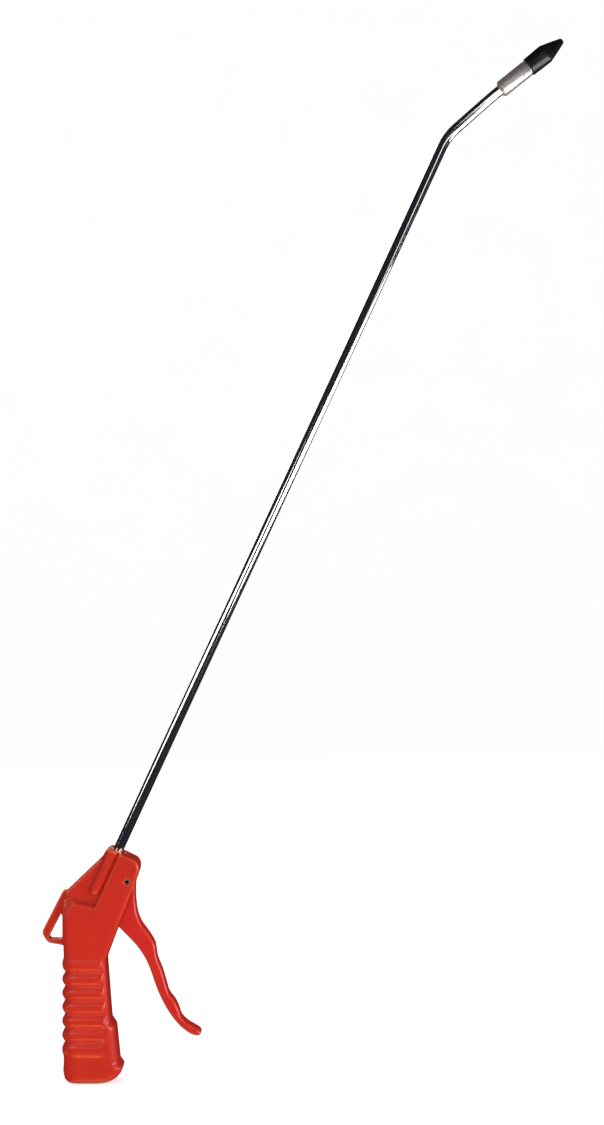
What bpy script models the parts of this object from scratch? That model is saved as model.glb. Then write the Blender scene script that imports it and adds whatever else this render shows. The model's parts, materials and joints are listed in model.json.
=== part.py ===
"""A lever blow gun: a moulded pistol grip with a poppet valve, a finger lever and a long bent tube with a soft tip.

Units are metres. +Z runs up the grip, +X points forwards from the grip to the lever, and XZ is the plane of
symmetry. The origin is the centre of the air inlet's end face, under the grip. Air runs from the inlet up the
grip into the valve chamber, past the poppet into the cartridge, out through its cross holes and up the tube.
"""

import math

import bmesh
import bpy
from mathutils import Matrix, Vector

MM = 0.001
GAP = 0.3 * MM  # between pieces that touch on the real object
REACH = 5.0 * MM  # how far a cutter runs past the face it opens

# Grip, measured up from the inlet face
GRIP_HEIGHT = 75.5 * MM  # inlet face to the knee where the cheeks begin
GRIP_WIDTH = 26.0 * MM
GRIP_BACK = -17.0 * MM
GRIP_FRONT = 9.4 * MM  # front of the grip at the knee
BASE_STEP_HEIGHT = 35.0 * MM  # the grip's front steps forward below this
BASE_STEP = 3.0 * MM
BASE_FRONT = 17.2 * MM  # front of the grip just above the lip
LIP_HEIGHT = 8.6 * MM
LIP_DEPTH = 2.6 * MM
LIP_WIDTH = 22.0 * MM
RIB_COUNT = 7
RIB_PITCH = 8.6 * MM
RIB_FIRST = 20.3 * MM
RIB_RISE = 1.0 * MM  # of a rib's crest over the plain grip, at the back
RIB_DROP = 1.5 * MM  # of the groove between two ribs below it
RIB_RUNOUT = 2.4 * MM  # length over which a rib's front end fades
RIB_FLANK = 0.6  # share of the ribs' depth that is left on the grip's sides

# Head, measured from the knee and along the tube
CHEEK_WALL = 4.5 * MM
CHEEK_LEAN = math.radians(20.6)  # the cheeks' front edge from vertical
SHOULDER_LEAN = math.radians(13.8)
SHOULDER_HEIGHT = 37.9 * MM  # of the grip's top over the knee, at the grip's back
BEVEL_HEIGHT = 23.7 * MM  # over the knee, where the bevel on the grip's back corner starts
BEVEL_LEAN = math.radians(33.9)
BEVEL_TURN = math.radians(30)  # of the bevel's face from the grip's side
SHOULDER_CHAMFER = 1.7 * MM
STEP_FORWARD = 1.8 * MM  # the cheeks start this far in front of the tube's axis
NOSE_REACH = 15.2 * MM  # from the tube's axis to the nose, along the end face
WEB_WIDTH = 15.0 * MM
WEB_FOOT = 41.8 * MM  # of the web's lower back corner over the knee
BOSS_BACK = 6.4 * MM  # the web's top corner behind the tube's axis
BOSS_RADIUS = 3.5 * MM
BOSS_OFFSET = 2.3 * MM
BOSS_LENGTH = 31.0 * MM
EDGE = 1.4 * MM  # rounding of the head's edges

# Hanging loop
LOOP_WIDTH = 8.0 * MM
LOOP_REACH = 14.0 * MM  # behind the grip
LOOP_TOP = 43.1 * MM  # over the knee
LOOP_HEEL = 15.7 * MM  # of the loop's rearmost corner over the knee
LOOP_BAR = 5.3 * MM
LOOP_FLOOR = 2.7 * MM

# Lever
LEVER_WIDTH = 13.0 * MM
LEVER_CLEARANCE = 0.5 * MM
LEVER_HUB = 5.2 * MM
LEVER_WALL = 2.2 * MM
PIVOT_FORWARD = 22.7 * MM
PIVOT_HEIGHT = 48.3 * MM  # over the knee
LEVER_ARM = 22.0 * MM  # pivot to the stem's tip
PIN_RADIUS = 1.6 * MM
PIN_BORE = 0.95 * MM
PIN_RECESS = 0.8 * MM

# Extension tube and tip
TUBE_RADIUS = 3.175 * MM
TUBE_WALL = 0.9 * MM
TUBE_LEAN = math.radians(24.74)
TUBE_ROOT_FORWARD = 16.3 * MM
TUBE_ROOT_HEIGHT = 66.7 * MM  # centre of the head's end face over the knee
TUBE_LENGTH = 486.6 * MM  # end face to the point where the two straights would meet
TUBE_DEPTH = 14.0 * MM
BEND_RADIUS = 37.0 * MM
SPOUT_LEAN = math.radians(48.6)
SPOUT_LENGTH = 43.4 * MM
TIP_LEAN = math.radians(51.2)
TIP_SWEEP = 260.0 * MM  # radius of the slight curve before the adapter
FERRULE_RADIUS = 4.6 * MM
FERRULE_LENGTH = 8.0 * MM
ADAPTER_RADIUS = 5.15 * MM
ADAPTER_LENGTH = 22.8 * MM
ADAPTER_SOCKET = 14.0 * MM
SPIGOT_RADIUS = 3.0 * MM
SPIGOT_LENGTH = 9.0 * MM
TIP_BACK_RADIUS = 5.8 * MM
TIP_SHOULDER_RADIUS = 6.1 * MM
TIP_SHOULDER = 13.4 * MM
TIP_LENGTH = 27.1 * MM
TIP_END_RADIUS = 1.8 * MM
TIP_BORE = 0.9 * MM

# Valve, measured inwards along its axis from the lever's flat face
VALVE_FRONT = 3.4 * MM
CARTRIDGE_RADIUS = 5.4 * MM
CARTRIDGE_BORE = 2.6 * MM
WAIST_RADIUS = 4.0 * MM
REAR_LAND = 2.6 * MM  # between the waist and the seat
CHAMBER_DEPTH = 29.3 * MM
CHAMBER_RADIUS = 4.9 * MM
STEM_RADIUS = 1.4 * MM
STEM_NECK = 1.0 * MM
POPPET_RADIUS = 4.2 * MM
SEAL_THICKNESS = 1.2 * MM
POPPET_THICKNESS = 1.3 * MM
NUT_RADIUS = 1.7 * MM
NUT_THICKNESS = 1.3 * MM
GUIDE_LENGTH = 4.6 * MM
RING_SECTION = 0.5 * MM  # of the cartridge's sealing rings
SPRING_WIRE = 0.3 * MM
SPRING_TURNS = 4
PASSAGE_RADIUS = 2.2 * MM  # from the cartridge to the tube

# Air inlet
INLET_RADIUS = 9.0 * MM
INLET_BORE = 5.9 * MM
INLET_LENGTH = 19.0 * MM
INLET_RING_HEIGHT = 13.5 * MM
DUCT_RADIUS = 3.1 * MM
DUCT_END = 25.0 * MM  # along the valve's axis

SIDES = 24  # of a turned piece
SIDE_NAMES = {-1: "left", 1: "right"}

PARTS = bpy.data.collections.new("lever_blow_gun")
CUTTERS = bpy.data.collections.new("cutters")


# ---------------------------------------------------------------- places worked out from the sizes


def side(x, z):
    """A point of the plane of symmetry."""
    return Vector((x, 0.0, z))


def leaning(angle):
    """The direction that leans forwards from vertical by an angle."""
    return side(math.sin(angle), math.cos(angle))


def crossing(start_a, way_a, start_b, way_b):
    """How far along way_a from start_a the two lines of the plane of symmetry cross."""
    between = start_b - start_a
    turn = way_a.x * way_b.z - way_a.z * way_b.x
    return (between.x * way_b.z - between.z * way_b.x) / turn


TUBE_WAY = leaning(TUBE_LEAN)
TUBE_FRONT = side(TUBE_WAY.z, -TUBE_WAY.x)
TUBE_ROOT = side(TUBE_ROOT_FORWARD, GRIP_HEIGHT + TUBE_ROOT_HEIGHT)
CHEEK_WAY = leaning(CHEEK_LEAN)
VALVE_WAY = side(-CHEEK_WAY.z, CHEEK_WAY.x)
PIVOT = side(PIVOT_FORWARD, GRIP_HEIGHT + PIVOT_HEIGHT)
CONTACT = PIVOT - CHEEK_WAY * LEVER_ARM
KNEE = side(GRIP_FRONT, GRIP_HEIGHT)
SHOULDER = side(GRIP_BACK, GRIP_HEIGHT + SHOULDER_HEIGHT)
SHOULDER_WAY = side(math.cos(SHOULDER_LEAN), -math.sin(SHOULDER_LEAN))
SLOT_WIDTH = LEVER_WIDTH + 2 * LEVER_CLEARANCE
HEAD_WIDTH = SLOT_WIDTH + 2 * CHEEK_WALL
NECK_HALF = HEAD_WIDTH / 2 - 0.15 * MM  # half width of the grip inside the cheeks
CROSS_DEPTH = crossing(CONTACT, VALVE_WAY, TUBE_ROOT, TUBE_WAY)
CROSS_POINT = CONTACT + VALVE_WAY * CROSS_DEPTH
WAIST_HALF = PASSAGE_RADIUS + GAP
SEAT_DEPTH = CROSS_DEPTH + WAIST_HALF + REAR_LAND
SEAL_DEPTH = SEAT_DEPTH + GAP
POPPET_DEPTH = SEAL_DEPTH + SEAL_THICKNESS + GAP
NUT_DEPTH = POPPET_DEPTH + POPPET_THICKNESS + GAP


def along_tube(up, forward=0.0):
    """A point beside the tube's axis, up from the head's end face."""
    return TUBE_ROOT + TUBE_WAY * up + TUBE_FRONT * forward


def along_valve(inward, down=0.0):
    """A point beside the valve's axis, inward from the lever's flat face."""
    return CONTACT + VALVE_WAY * inward - CHEEK_WAY * down


# ---------------------------------------------------------------- tools


def place(obj, collection=PARTS):
    collection.objects.link(obj)
    if collection is CUTTERS:
        obj.hide_render = True
        obj.display_type = "WIRE"
    return obj


def aim(obj, origin, way):
    """Stands an object at origin with its own Z along way."""
    obj.location = origin
    obj.rotation_euler = way.to_track_quat("Z", "Y").to_euler()
    return obj


def mesh_object(name, mesh, collection=PARTS):
    return place(bpy.data.objects.new(name, mesh), collection)


def settle(obj):
    """Applies an object's modifiers and turns its faces outwards."""
    bpy.context.view_layer.update()
    graph = bpy.context.evaluated_depsgraph_get()
    mesh = bpy.data.meshes.new_from_object(obj.evaluated_get(graph))
    obj.modifiers.clear()
    obj.data = mesh
    face_out(mesh)
    return obj


def face_out(mesh):
    shape = bmesh.new()
    shape.from_mesh(mesh)
    bmesh.ops.remove_doubles(shape, verts=shape.verts, dist=0.001 * MM)
    bmesh.ops.recalc_face_normals(shape, faces=shape.faces)
    shape.to_mesh(mesh)
    shape.free()


def mesh_from_curve(curve, collection):
    """Turns a curve object into a mesh object whose caps are welded to its sides."""
    place(curve, collection)
    bpy.context.view_layer.update()
    graph = bpy.context.evaluated_depsgraph_get()
    mesh = bpy.data.meshes.new_from_object(curve.evaluated_get(graph))
    name = curve.name
    matrix = curve.matrix_world.copy()
    bpy.data.objects.remove(curve)
    face_out(mesh)
    obj = mesh_object(name, mesh, collection)
    obj.name = name
    obj.matrix_world = matrix
    return obj


def rounded(corners, steps=5):
    """Outline points for corners (x, z, radius), each corner replaced by an arc that touches both its sides."""
    points = []
    for i, (x, z, radius) in enumerate(corners):
        here = Vector((x, z))
        if radius <= 0:
            points.append(here)
            continue
        to_last = (Vector(corners[i - 1][:2]) - here).normalized()
        to_next = (Vector(corners[(i + 1) % len(corners)][:2]) - here).normalized()
        half = to_last.angle(to_next) / 2
        start = here + to_last * radius / math.tan(half)
        end = here + to_next * radius / math.tan(half)
        centre = here + (to_last + to_next).normalized() * radius / math.sin(half)
        sweep = (start - centre).angle_signed(end - centre)
        for k in range(steps + 1):
            spoke = start - centre
            spoke.rotate(Matrix.Rotation(-sweep * k / steps, 2))
            points.append(centre + spoke)
    return points


def corner(point, radius=0.0):
    return (point.x, point.z, radius)


def outline_curve(name, points, width, edge):
    """A flat 2D curve standing in the plane of symmetry, thick along Y, with round edges."""
    data = bpy.data.curves.new(name, "CURVE")
    data.dimensions = "2D"
    data.fill_mode = "BOTH"
    data.extrude = width / 2 - edge
    data.bevel_depth = edge
    data.bevel_resolution = 1
    data.offset = -edge
    spline = data.splines.new("POLY")
    spline.points.add(len(points) - 1)
    for knot, point in zip(spline.points, points):
        knot.co = (point[0], point[1], 0.0, 1.0)
    spline.use_cyclic_u = True
    curve = bpy.data.objects.new(name, data)
    curve.rotation_euler = (math.pi / 2, 0.0, 0.0)
    return curve


def plate(name, points, width, edge=0.0, collection=PARTS):
    """An outline given thickness, its edges rounded."""
    return mesh_from_curve(outline_curve(name, points, width, edge), collection)


def smooth_knots(knots, steps=4):
    """Points on a smooth open curve through the knots, a cubic between each pair."""
    knots = [Vector(knot) for knot in knots]
    ends = [2 * knots[0] - knots[1]] + knots + [2 * knots[-1] - knots[-2]]
    points = []
    for before, start, end, after in zip(ends, ends[1:], ends[2:], ends[3:]):
        for k in range(steps):
            t = k / steps
            bend = 2 * before - 5 * start + 4 * end - after
            twist = 3 * start - before - 3 * end + after
            points.append(start + ((end - before) * t + bend * t**2 + twist * t**3) / 2)
    return points + [knots[-1]]


def turned(name, profile, origin, way, collection=PARTS, closed=False):
    """A profile of (radius, height), down its outer side first, turned about an axis."""
    mesh = bpy.data.meshes.new(name)
    edges = [(i, i + 1) for i in range(len(profile) - 1)]
    if closed:
        edges.append((len(profile) - 1, 0))
    mesh.from_pydata([(r, 0.0, h) for r, h in profile], edges, [])
    obj = aim(mesh_object(name, mesh, collection), origin, way)
    screw = obj.modifiers.new("turn", "SCREW")
    screw.axis = "Z"
    screw.steps = SIDES
    screw.render_steps = SIDES
    screw.use_merge_vertices = True
    screw.merge_threshold = 0.001 * MM
    return settle(obj)


def bore(name, start, end, radius):
    """A round cutter from start to end."""
    way = end - start
    profile = [(0.0, way.length), (radius, way.length), (radius, 0.0), (0.0, 0.0)]
    return turned(name, profile, start, way, CUTTERS)


def sleeve(outer, inner, low, high):
    """The closed profile of a plain tube."""
    return [(outer, high), (outer, low), (inner, low), (inner, high)]


def ring(name, origin, way, centre_radius, section):
    """A sealing ring."""
    bpy.ops.mesh.primitive_torus_add(
        major_radius=centre_radius, minor_radius=section, major_segments=SIDES, minor_segments=8
    )
    obj = bpy.context.active_object
    obj.name = name
    for holder in list(obj.users_collection):
        holder.objects.unlink(obj)
    return aim(place(obj), origin, way)


def combine(obj, other, operation, solver="EXACT"):
    boolean = obj.modifiers.new(f"{operation.lower()} {other.name}", "BOOLEAN")
    boolean.object = other
    boolean.operation = operation
    boolean.solver = solver
    return obj


def cut(obj, *cutters, solver="EXACT"):
    for cutter in cutters:
        combine(obj, cutter, "DIFFERENCE", solver)
    return obj


def join(obj, *others):
    for other in others:
        combine(obj, other, "UNION")
    return obj


def finish(obj, material, sharp=35):
    """Applies the modifiers, gives the material and shades round faces smooth."""
    mesh = settle(obj).data
    mesh.materials.clear()
    mesh.materials.append(material)
    mesh.shade_smooth()
    mesh.set_sharp_from_angle(angle=math.radians(sharp))
    return obj


# ---------------------------------------------------------------- materials


def material(name, colour, roughness, metallic=0.0):
    """A Principled material; the colour is linear."""
    made = bpy.data.materials.new(name)
    made.use_nodes = True
    shader = made.node_tree.nodes["Principled BSDF"]
    shader.inputs["Base Color"].default_value = (*colour, 1.0)
    shader.inputs["Roughness"].default_value = roughness
    shader.inputs["Metallic"].default_value = metallic
    made.diffuse_color = (*colour, 1.0)
    return made


def red_plastic():
    return material("red_plastic", (0.58, 0.035, 0.022), 0.42)


def lever_plastic():
    return material("lever_plastic", (0.57, 0.026, 0.024), 0.42)


def polished_chrome():
    return material("polished_chrome", (0.86, 0.87, 0.89), 0.06, 1.0)


def bright_nickel():
    return material("bright_nickel", (0.78, 0.74, 0.72), 0.22, 1.0)


def black_rubber():
    return material("black_rubber", (0.012, 0.011, 0.011), 0.5)


def turned_brass():
    return material("turned_brass", (0.72, 0.49, 0.2), 0.28, 1.0)


def plain_steel():
    return material("plain_steel", (0.45, 0.44, 0.43), 0.35, 1.0)


def seal_rubber():
    return material("seal_rubber", (0.02, 0.02, 0.02), 0.6)


def white_acetal():
    return material("white_acetal", (0.8, 0.79, 0.75), 0.45)


# ---------------------------------------------------------------- body


def rib_swell(z):
    """How far the grip's back stands out at a height: round ribs with sharp grooves between, plain beyond them."""
    nearest = min(max(round((z - RIB_FIRST) / RIB_PITCH), 0), RIB_COUNT - 1)
    off_crest = (z - RIB_FIRST) / RIB_PITCH - nearest
    fall = min(1.0, (2 * off_crest) ** 2)
    outside = off_crest * (1 if nearest else -1) > 0 and nearest in (0, RIB_COUNT - 1)
    return RIB_RISE * (1 - fall) if outside else RIB_RISE - (RIB_RISE + RIB_DROP) * fall


def grip_rows():
    """Sections of the grip: (height, back, front, half width, back corner, front corner)."""
    half = GRIP_WIDTH / 2
    lip = BASE_FRONT + LIP_DEPTH
    step_top = BASE_STEP_HEIGHT + BASE_STEP
    step_front = BASE_FRONT - 2.0 * MM
    slope = math.tan(CHEEK_LEAN)
    top = GRIP_HEIGHT + SHOULDER_HEIGHT + REACH
    rows = [
        (0.0, GRIP_BACK + 4.4 * MM, BASE_FRONT - 9.0 * MM, half - 1.6 * MM, 5.0 * MM, 5.0 * MM),
        (0.5 * MM, GRIP_BACK + 2.6 * MM, BASE_FRONT - 6.0 * MM, half - 0.7 * MM, 6.0 * MM, 5.0 * MM),
        (1.8 * MM, GRIP_BACK + 1.0 * MM, BASE_FRONT - 2.9 * MM, half - 0.2 * MM, 7.0 * MM, 5.5 * MM),
        (3.8 * MM, GRIP_BACK + 0.2 * MM, BASE_FRONT - 0.4 * MM, half, 8.0 * MM, 5.5 * MM),
        (6.2 * MM, GRIP_BACK - 0.2 * MM, BASE_FRONT + 1.6 * MM, half, 8.0 * MM, 5.5 * MM),
        (LIP_HEIGHT, GRIP_BACK - 0.2 * MM, lip, half, 8.0 * MM, 6.0 * MM),
        (LIP_HEIGHT + 1.4 * MM, GRIP_BACK, lip - 0.7 * MM, half, 8.0 * MM, 6.0 * MM),
        (LIP_HEIGHT + 3.6 * MM, GRIP_BACK, BASE_FRONT + 0.1 * MM, half, 8.0 * MM, 6.0 * MM),
        (BASE_STEP_HEIGHT - 1.6 * MM, GRIP_BACK, step_front, half, 8.0 * MM, 6.0 * MM),
        (BASE_STEP_HEIGHT - 0.6 * MM, GRIP_BACK, step_front - 0.4 * MM, half, 8.0 * MM, 6.0 * MM),
        (step_top - 0.6 * MM, GRIP_BACK, GRIP_FRONT + 3.0 * MM, half - 0.1 * MM, 8.0 * MM, 5.0 * MM),
        (step_top + 0.8 * MM, GRIP_BACK, GRIP_FRONT + 2.7 * MM, half - 0.1 * MM, 8.0 * MM, 5.0 * MM),
        (GRIP_HEIGHT - 3.0 * MM, GRIP_BACK, GRIP_FRONT + 0.1 * MM, half - 0.8 * MM, 7.5 * MM, 4.0 * MM),
        (GRIP_HEIGHT, GRIP_BACK, GRIP_FRONT, half - 1.1 * MM, 7.0 * MM, 3.5 * MM),
        (GRIP_HEIGHT + 9.0 * MM, GRIP_BACK, GRIP_FRONT + 9.0 * MM * slope, NECK_HALF, 4.5 * MM, 2.5 * MM),
        (top, GRIP_BACK, GRIP_FRONT + (top - GRIP_HEIGHT) * slope, NECK_HALF, 1.0 * MM, 2.5 * MM),
    ]
    return rows


def row_at(rows, z):
    """The section at any height, between its two neighbours."""
    for low, high in zip(rows, rows[1:]):
        if low[0] <= z <= high[0]:
            share = (z - low[0]) / (high[0] - low[0])
            return [a + (b - a) * share for a, b in zip(low, high)]
    return list(rows[-1])


def section_points(row, corner_steps=5, flank_steps=5):
    """Points round a section: a rounded rectangle with its ribs, from the back's middle round by -Y."""
    z, back, front, half, back_radius, front_radius = row
    points = []
    corners = [
        (back + back_radius, -half + back_radius, back_radius, 180),
        (front - front_radius, -half + front_radius, front_radius, 270),
        (front - front_radius, half - front_radius, front_radius, 0),
        (back + back_radius, half - back_radius, back_radius, 90),
    ]
    for index, (x, y, radius, start) in enumerate(corners):
        for k in range(corner_steps + 1):
            angle = math.radians(start + 90 * k / corner_steps)
            points.append((x + radius * math.cos(angle), y + radius * math.sin(angle), angle))
        if index in (0, 2):
            x_next = corners[index + 1][0]
            for k in range(1, flank_steps):
                angle = math.radians(start + 90)
                points.append((x + (x_next - x) * k / flank_steps, points[-1][1], angle))
    rib_end = min(front - 1.6 * MM, GRIP_FRONT + 1.0 * MM)
    swell = rib_swell(z)
    shaped = []
    for x, y, angle in points:
        share = min(1.0, max(0.0, (rib_end - x) / RIB_RUNOUT))
        depth = RIB_FLANK + (1 - RIB_FLANK) * max(0.0, -math.cos(angle))
        out = swell * depth * share * share * (3 - 2 * share)
        shaped.append((x + out * math.cos(angle), y + out * math.sin(angle), z))
    return shaped


def grip_heights(rows, rib_steps=6):
    """The heights that get a section: each row's, and evenly over the ribs."""
    low = RIB_FIRST - RIB_PITCH / 2
    count = RIB_COUNT * rib_steps
    heights = {row[0] for row in rows}
    heights |= {low + RIB_PITCH * k / rib_steps for k in range(count + 1)}
    ordered = []
    for z in sorted(heights):
        if not ordered or z - ordered[-1] > 0.25 * MM:
            ordered.append(z)
    return ordered


def grip_solid():
    """The grip, lofted through its sections up to the slanted shoulder."""
    rows = grip_rows()
    shape = bmesh.new()
    rings = []
    for z in grip_heights(rows):
        rings.append([shape.verts.new(p) for p in section_points(row_at(rows, z))])
    for low, high in zip(rings, rings[1:]):
        for i in range(len(low)):
            j = (i + 1) % len(low)
            shape.faces.new((low[i], low[j], high[j], high[i]))
    shape.faces.new(list(reversed(rings[0])))
    shape.faces.new(rings[-1])
    bmesh.ops.recalc_face_normals(shape, faces=shape.faces)
    mesh = bpy.data.meshes.new("body")
    shape.to_mesh(mesh)
    shape.free()
    return mesh_object("body", mesh)


def shoulder_cutter():
    """Everything over the grip's slanted top."""
    back = SHOULDER - SHOULDER_WAY * 20 * MM
    front = SHOULDER + SHOULDER_WAY * 70 * MM
    rise = side(0.0, 70 * MM)
    corners = [corner(back), corner(front), corner(front + rise), corner(back + rise)]
    return plate("cut_shoulder", rounded(corners), 2 * GRIP_WIDTH, 0.0, CUTTERS)


def beyond(name, point, out):
    """A cutter that takes everything on the outer side of a plane."""
    size = 2 * GRIP_WIDTH
    bpy.ops.mesh.primitive_cube_add(size=size)
    obj = bpy.context.active_object
    obj.name = name
    for holder in list(obj.users_collection):
        holder.objects.unlink(obj)
    return aim(place(obj, CUTTERS), point + out * size / 2, out)


def bevel_cutter(sign):
    """Bevels the grip's top back corner on one side, along a line that leans forwards."""
    start = side(GRIP_BACK, GRIP_HEIGHT + BEVEL_HEIGHT) + Vector((0.0, sign * NECK_HALF, 0.0))
    backwards = Vector((-math.cos(BEVEL_TURN), -sign * math.sin(BEVEL_TURN), 0.0))
    out = leaning(BEVEL_LEAN).cross(backwards).normalized() * -sign
    return beyond(f"cut_bevel_{SIDE_NAMES[sign]}", start, out)


def shoulder_chamfer_cutter(sign):
    """Chamfers the long edge between the shoulder and one side of the grip."""
    across = Vector((0.0, sign, 0.0))
    upwards = side(-SHOULDER_WAY.z, SHOULDER_WAY.x)
    start = SHOULDER + across * (NECK_HALF - SHOULDER_CHAMFER)
    return beyond(f"cut_chamfer_{SIDE_NAMES[sign]}", start, (upwards + across).normalized())


def cheeks():
    """The wide front of the head, from the shoulder to the nose."""
    low = crossing(along_tube(0.0, STEP_FORWARD), -TUBE_WAY, SHOULDER, SHOULDER_WAY)
    foot = along_tube(-low, STEP_FORWARD)
    nose = along_tube(0.0, NOSE_REACH)
    chin = along_tube(-5.4 * MM, NOSE_REACH + 2.1 * MM)
    brow = PIVOT + side(3.2 * MM, -5.0 * MM)
    corners = [
        corner(KNEE + side(0.6 * MM, 5.0 * MM)),
        corner(brow, 14.0 * MM),
        corner(chin, 3.0 * MM),
        corner(nose, 6.0 * MM),
        corner(along_tube(0.0, STEP_FORWARD)),
        corner(foot),
        corner(foot + side(-3.0 * MM, -12.0 * MM)),
    ]
    return plate("head_cheeks", rounded(corners), HEAD_WIDTH, EDGE, CUTTERS)


def web():
    """The thinner plate behind the cheeks, which holds the tube's socket."""
    top_back = along_tube(0.0, -BOSS_BACK)
    foot = side(GRIP_BACK + 1.8 * MM, GRIP_HEIGHT + WEB_FOOT)
    corners = [
        corner(along_tube(0.0, STEP_FORWARD + 4 * MM)),
        corner(top_back, 3.4 * MM),
        corner(along_tube(-7.9 * MM, -BOSS_BACK - 0.8 * MM), 8.0 * MM),
        corner(foot, 2.0 * MM),
        corner(SHOULDER + side(1.2 * MM, -0.8 * MM), 2.0 * MM),
        corner(SHOULDER + SHOULDER_WAY * 8 * MM - side(0.0, 2 * MM)),
        corner(CONTACT + side(0.0, -5 * MM)),
    ]
    return plate("head_web", rounded(corners), WEB_WIDTH, EDGE, CUTTERS)


def boss(sign):
    """The half-round rib that stands out of the web on one side, over the tube's socket."""
    radius = BOSS_RADIUS
    ends = [(0.0, 0.0), (radius - 0.8 * MM, 0.0), (radius, -0.8 * MM), (radius, -BOSS_LENGTH + radius)]
    round_end = [
        (radius * math.cos(math.radians(a)), -BOSS_LENGTH + radius - radius * math.sin(math.radians(a)))
        for a in (30, 60)
    ]
    profile = ends + round_end + [(0.0, -BOSS_LENGTH)]
    origin = along_tube(-0.05 * MM, -BOSS_OFFSET) + Vector((0.0, sign * WEB_WIDTH / 2, 0.0))
    return turned(f"boss_{SIDE_NAMES[sign]}", profile, origin, TUBE_WAY, CUTTERS)


def hanging_loop():
    """The triangular loop behind the grip's top."""
    back = side(GRIP_BACK - LOOP_REACH, GRIP_HEIGHT + LOOP_HEEL)
    top = side(GRIP_BACK, GRIP_HEIGHT + LOOP_TOP)
    floor = back + side(3.8 * MM, -6.2 * MM)
    root = side(GRIP_BACK, floor.z - 1.7 * MM)
    outer = [
        corner(top, 2.0 * MM),
        corner(back, 4.0 * MM),
        corner(floor, 4.5 * MM),
        corner(root),
        corner(root + side(2 * REACH, 0.0)),
        corner(top + side(9 * MM, -6 * MM)),
    ]
    slope = (back - top).normalized()
    across = side(-slope.z, slope.x)
    wall = side(GRIP_BACK - 1.1 * MM, 0)
    bar_line = top + across * LOOP_BAR
    apex = bar_line + slope * ((wall.x - bar_line.x) / slope.x)
    floor_z = floor.z + LOOP_FLOOR
    hole_back = bar_line + slope * ((floor_z - bar_line.z) / slope.z)
    inner = [
        corner(apex, 0.6 * MM),
        corner(hole_back, 1.0 * MM),
        corner(side(wall.x, floor_z - 0.4 * MM), 1.0 * MM),
    ]
    loop = plate("hanging_loop", rounded(outer), LOOP_WIDTH, 1.1 * MM, CUTTERS)
    return cut(loop, plate("cut_loop", rounded(inner, 6), 2 * LOOP_WIDTH, 0.0, CUTTERS))


def base_rim():
    """The raised rim that follows the round front of the grip's base."""
    centre = side(BASE_FRONT - 11.0 * MM, 14.6 * MM)
    outer = LIP_DEPTH + 11.4 * MM
    inner = outer - 3.4 * MM
    swing = [math.radians(a) for a in range(-24, -97, -8)]
    points = [(centre.x + outer * math.cos(a), centre.z + outer * math.sin(a)) for a in swing]
    points += [(centre.x + inner * math.cos(a), centre.z + inner * math.sin(a)) for a in reversed(swing)]
    return plate("base_rim", points, LIP_WIDTH, 1.0 * MM, CUTTERS)


def lever_slot():
    """The slot between the cheeks, round at the pivot and open to the front."""
    room = LEVER_HUB + 1.0 * MM
    wall = VALVE_FRONT + GAP
    over = along_valve(-30.0 * MM, -LEVER_ARM - room * 0.35)
    floor = along_valve(wall, 12.0 * MM)
    mouth = along_valve(-REACH - 6.0 * MM, 24.0 * MM)
    corners = [
        corner(along_valve(wall, -LEVER_ARM + 2 * MM)),
        corner(floor, 2.0 * MM),
        corner(mouth),
        corner(along_valve(-30.0 * MM, 24.0 * MM)),
        corner(over),
        corner(along_valve(0.0, -LEVER_ARM - room * 0.35)),
    ]
    slot = plate("cut_slot", rounded(corners), SLOT_WIDTH, 0.0, CUTTERS)
    half = Vector((0.0, SLOT_WIDTH / 2, 0.0))
    return slot, bore("cut_hub_room", PIVOT - half, PIVOT + half, room)


def body(plastic):
    obj = grip_solid()
    cut(obj, shoulder_cutter())
    for sign in SIDE_NAMES:
        cut(obj, bevel_cutter(sign), shoulder_chamfer_cutter(sign))
    join(obj, cheeks(), web(), boss(-1), boss(1), hanging_loop(), base_rim())
    width = Vector((0.0, HEAD_WIDTH, 0.0))
    seat = along_valve(SEAT_DEPTH + GAP)
    duct_end = along_valve(DUCT_END)
    duct_start = side(0.0, INLET_LENGTH)
    root_in = TUBE_DEPTH + GAP
    cut(
        obj,
        *lever_slot(),
        bore("cut_pin", PIVOT - width, PIVOT + width, PIN_RADIUS + GAP / 2),
        bore("cut_cartridge", along_valve(-REACH), seat, CARTRIDGE_RADIUS + GAP),
        bore("cut_chamber", along_valve(SEAT_DEPTH - GAP), along_valve(CHAMBER_DEPTH), CHAMBER_RADIUS),
        bore("cut_passage", CROSS_POINT, along_tube(-TUBE_DEPTH), PASSAGE_RADIUS),
        bore("cut_tube", along_tube(-root_in), along_tube(REACH), TUBE_RADIUS + GAP),
        bore("cut_tube_ring", along_tube(-FERRULE_LENGTH - 2.6 * MM), along_tube(REACH), TUBE_RADIUS + 1.3 * MM),
        bore("cut_ferrule", along_tube(-FERRULE_LENGTH - GAP), along_tube(REACH), FERRULE_RADIUS + GAP),
        bore("cut_inlet", side(0, -REACH), side(0, INLET_LENGTH + GAP), INLET_RADIUS + GAP),
        bore("cut_duct", duct_start, duct_end, DUCT_RADIUS),
        solver="MANIFOLD",  # the bores cross each other inside the head, where EXACT leaves open edges
    )
    return finish(obj, plastic)


# ---------------------------------------------------------------- lever


def lever_front():
    """Knots down the lever's front, from over the pivot to its toe, measured from the pivot in millimetres."""
    return [
        (3.2, 4.4), (4.5, 1.5), (4.4, -6.0), (4.5, -11.5), (5.5, -19.5), (8.1, -26.4), (12.3, -32.2),
        (16.2, -38.4), (17.3, -43.6), (18.2, -48.6), (21.0, -55.4), (23.4, -63.4), (25.3, -69.6),
        (28.9, -74.4), (31.4, -79.6), (32.8, -83.8), (36.4, -87.6), (41.2, -90.6), (44.2, -92.4), (45.3, -94.2),
    ]  # fmt: skip


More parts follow.
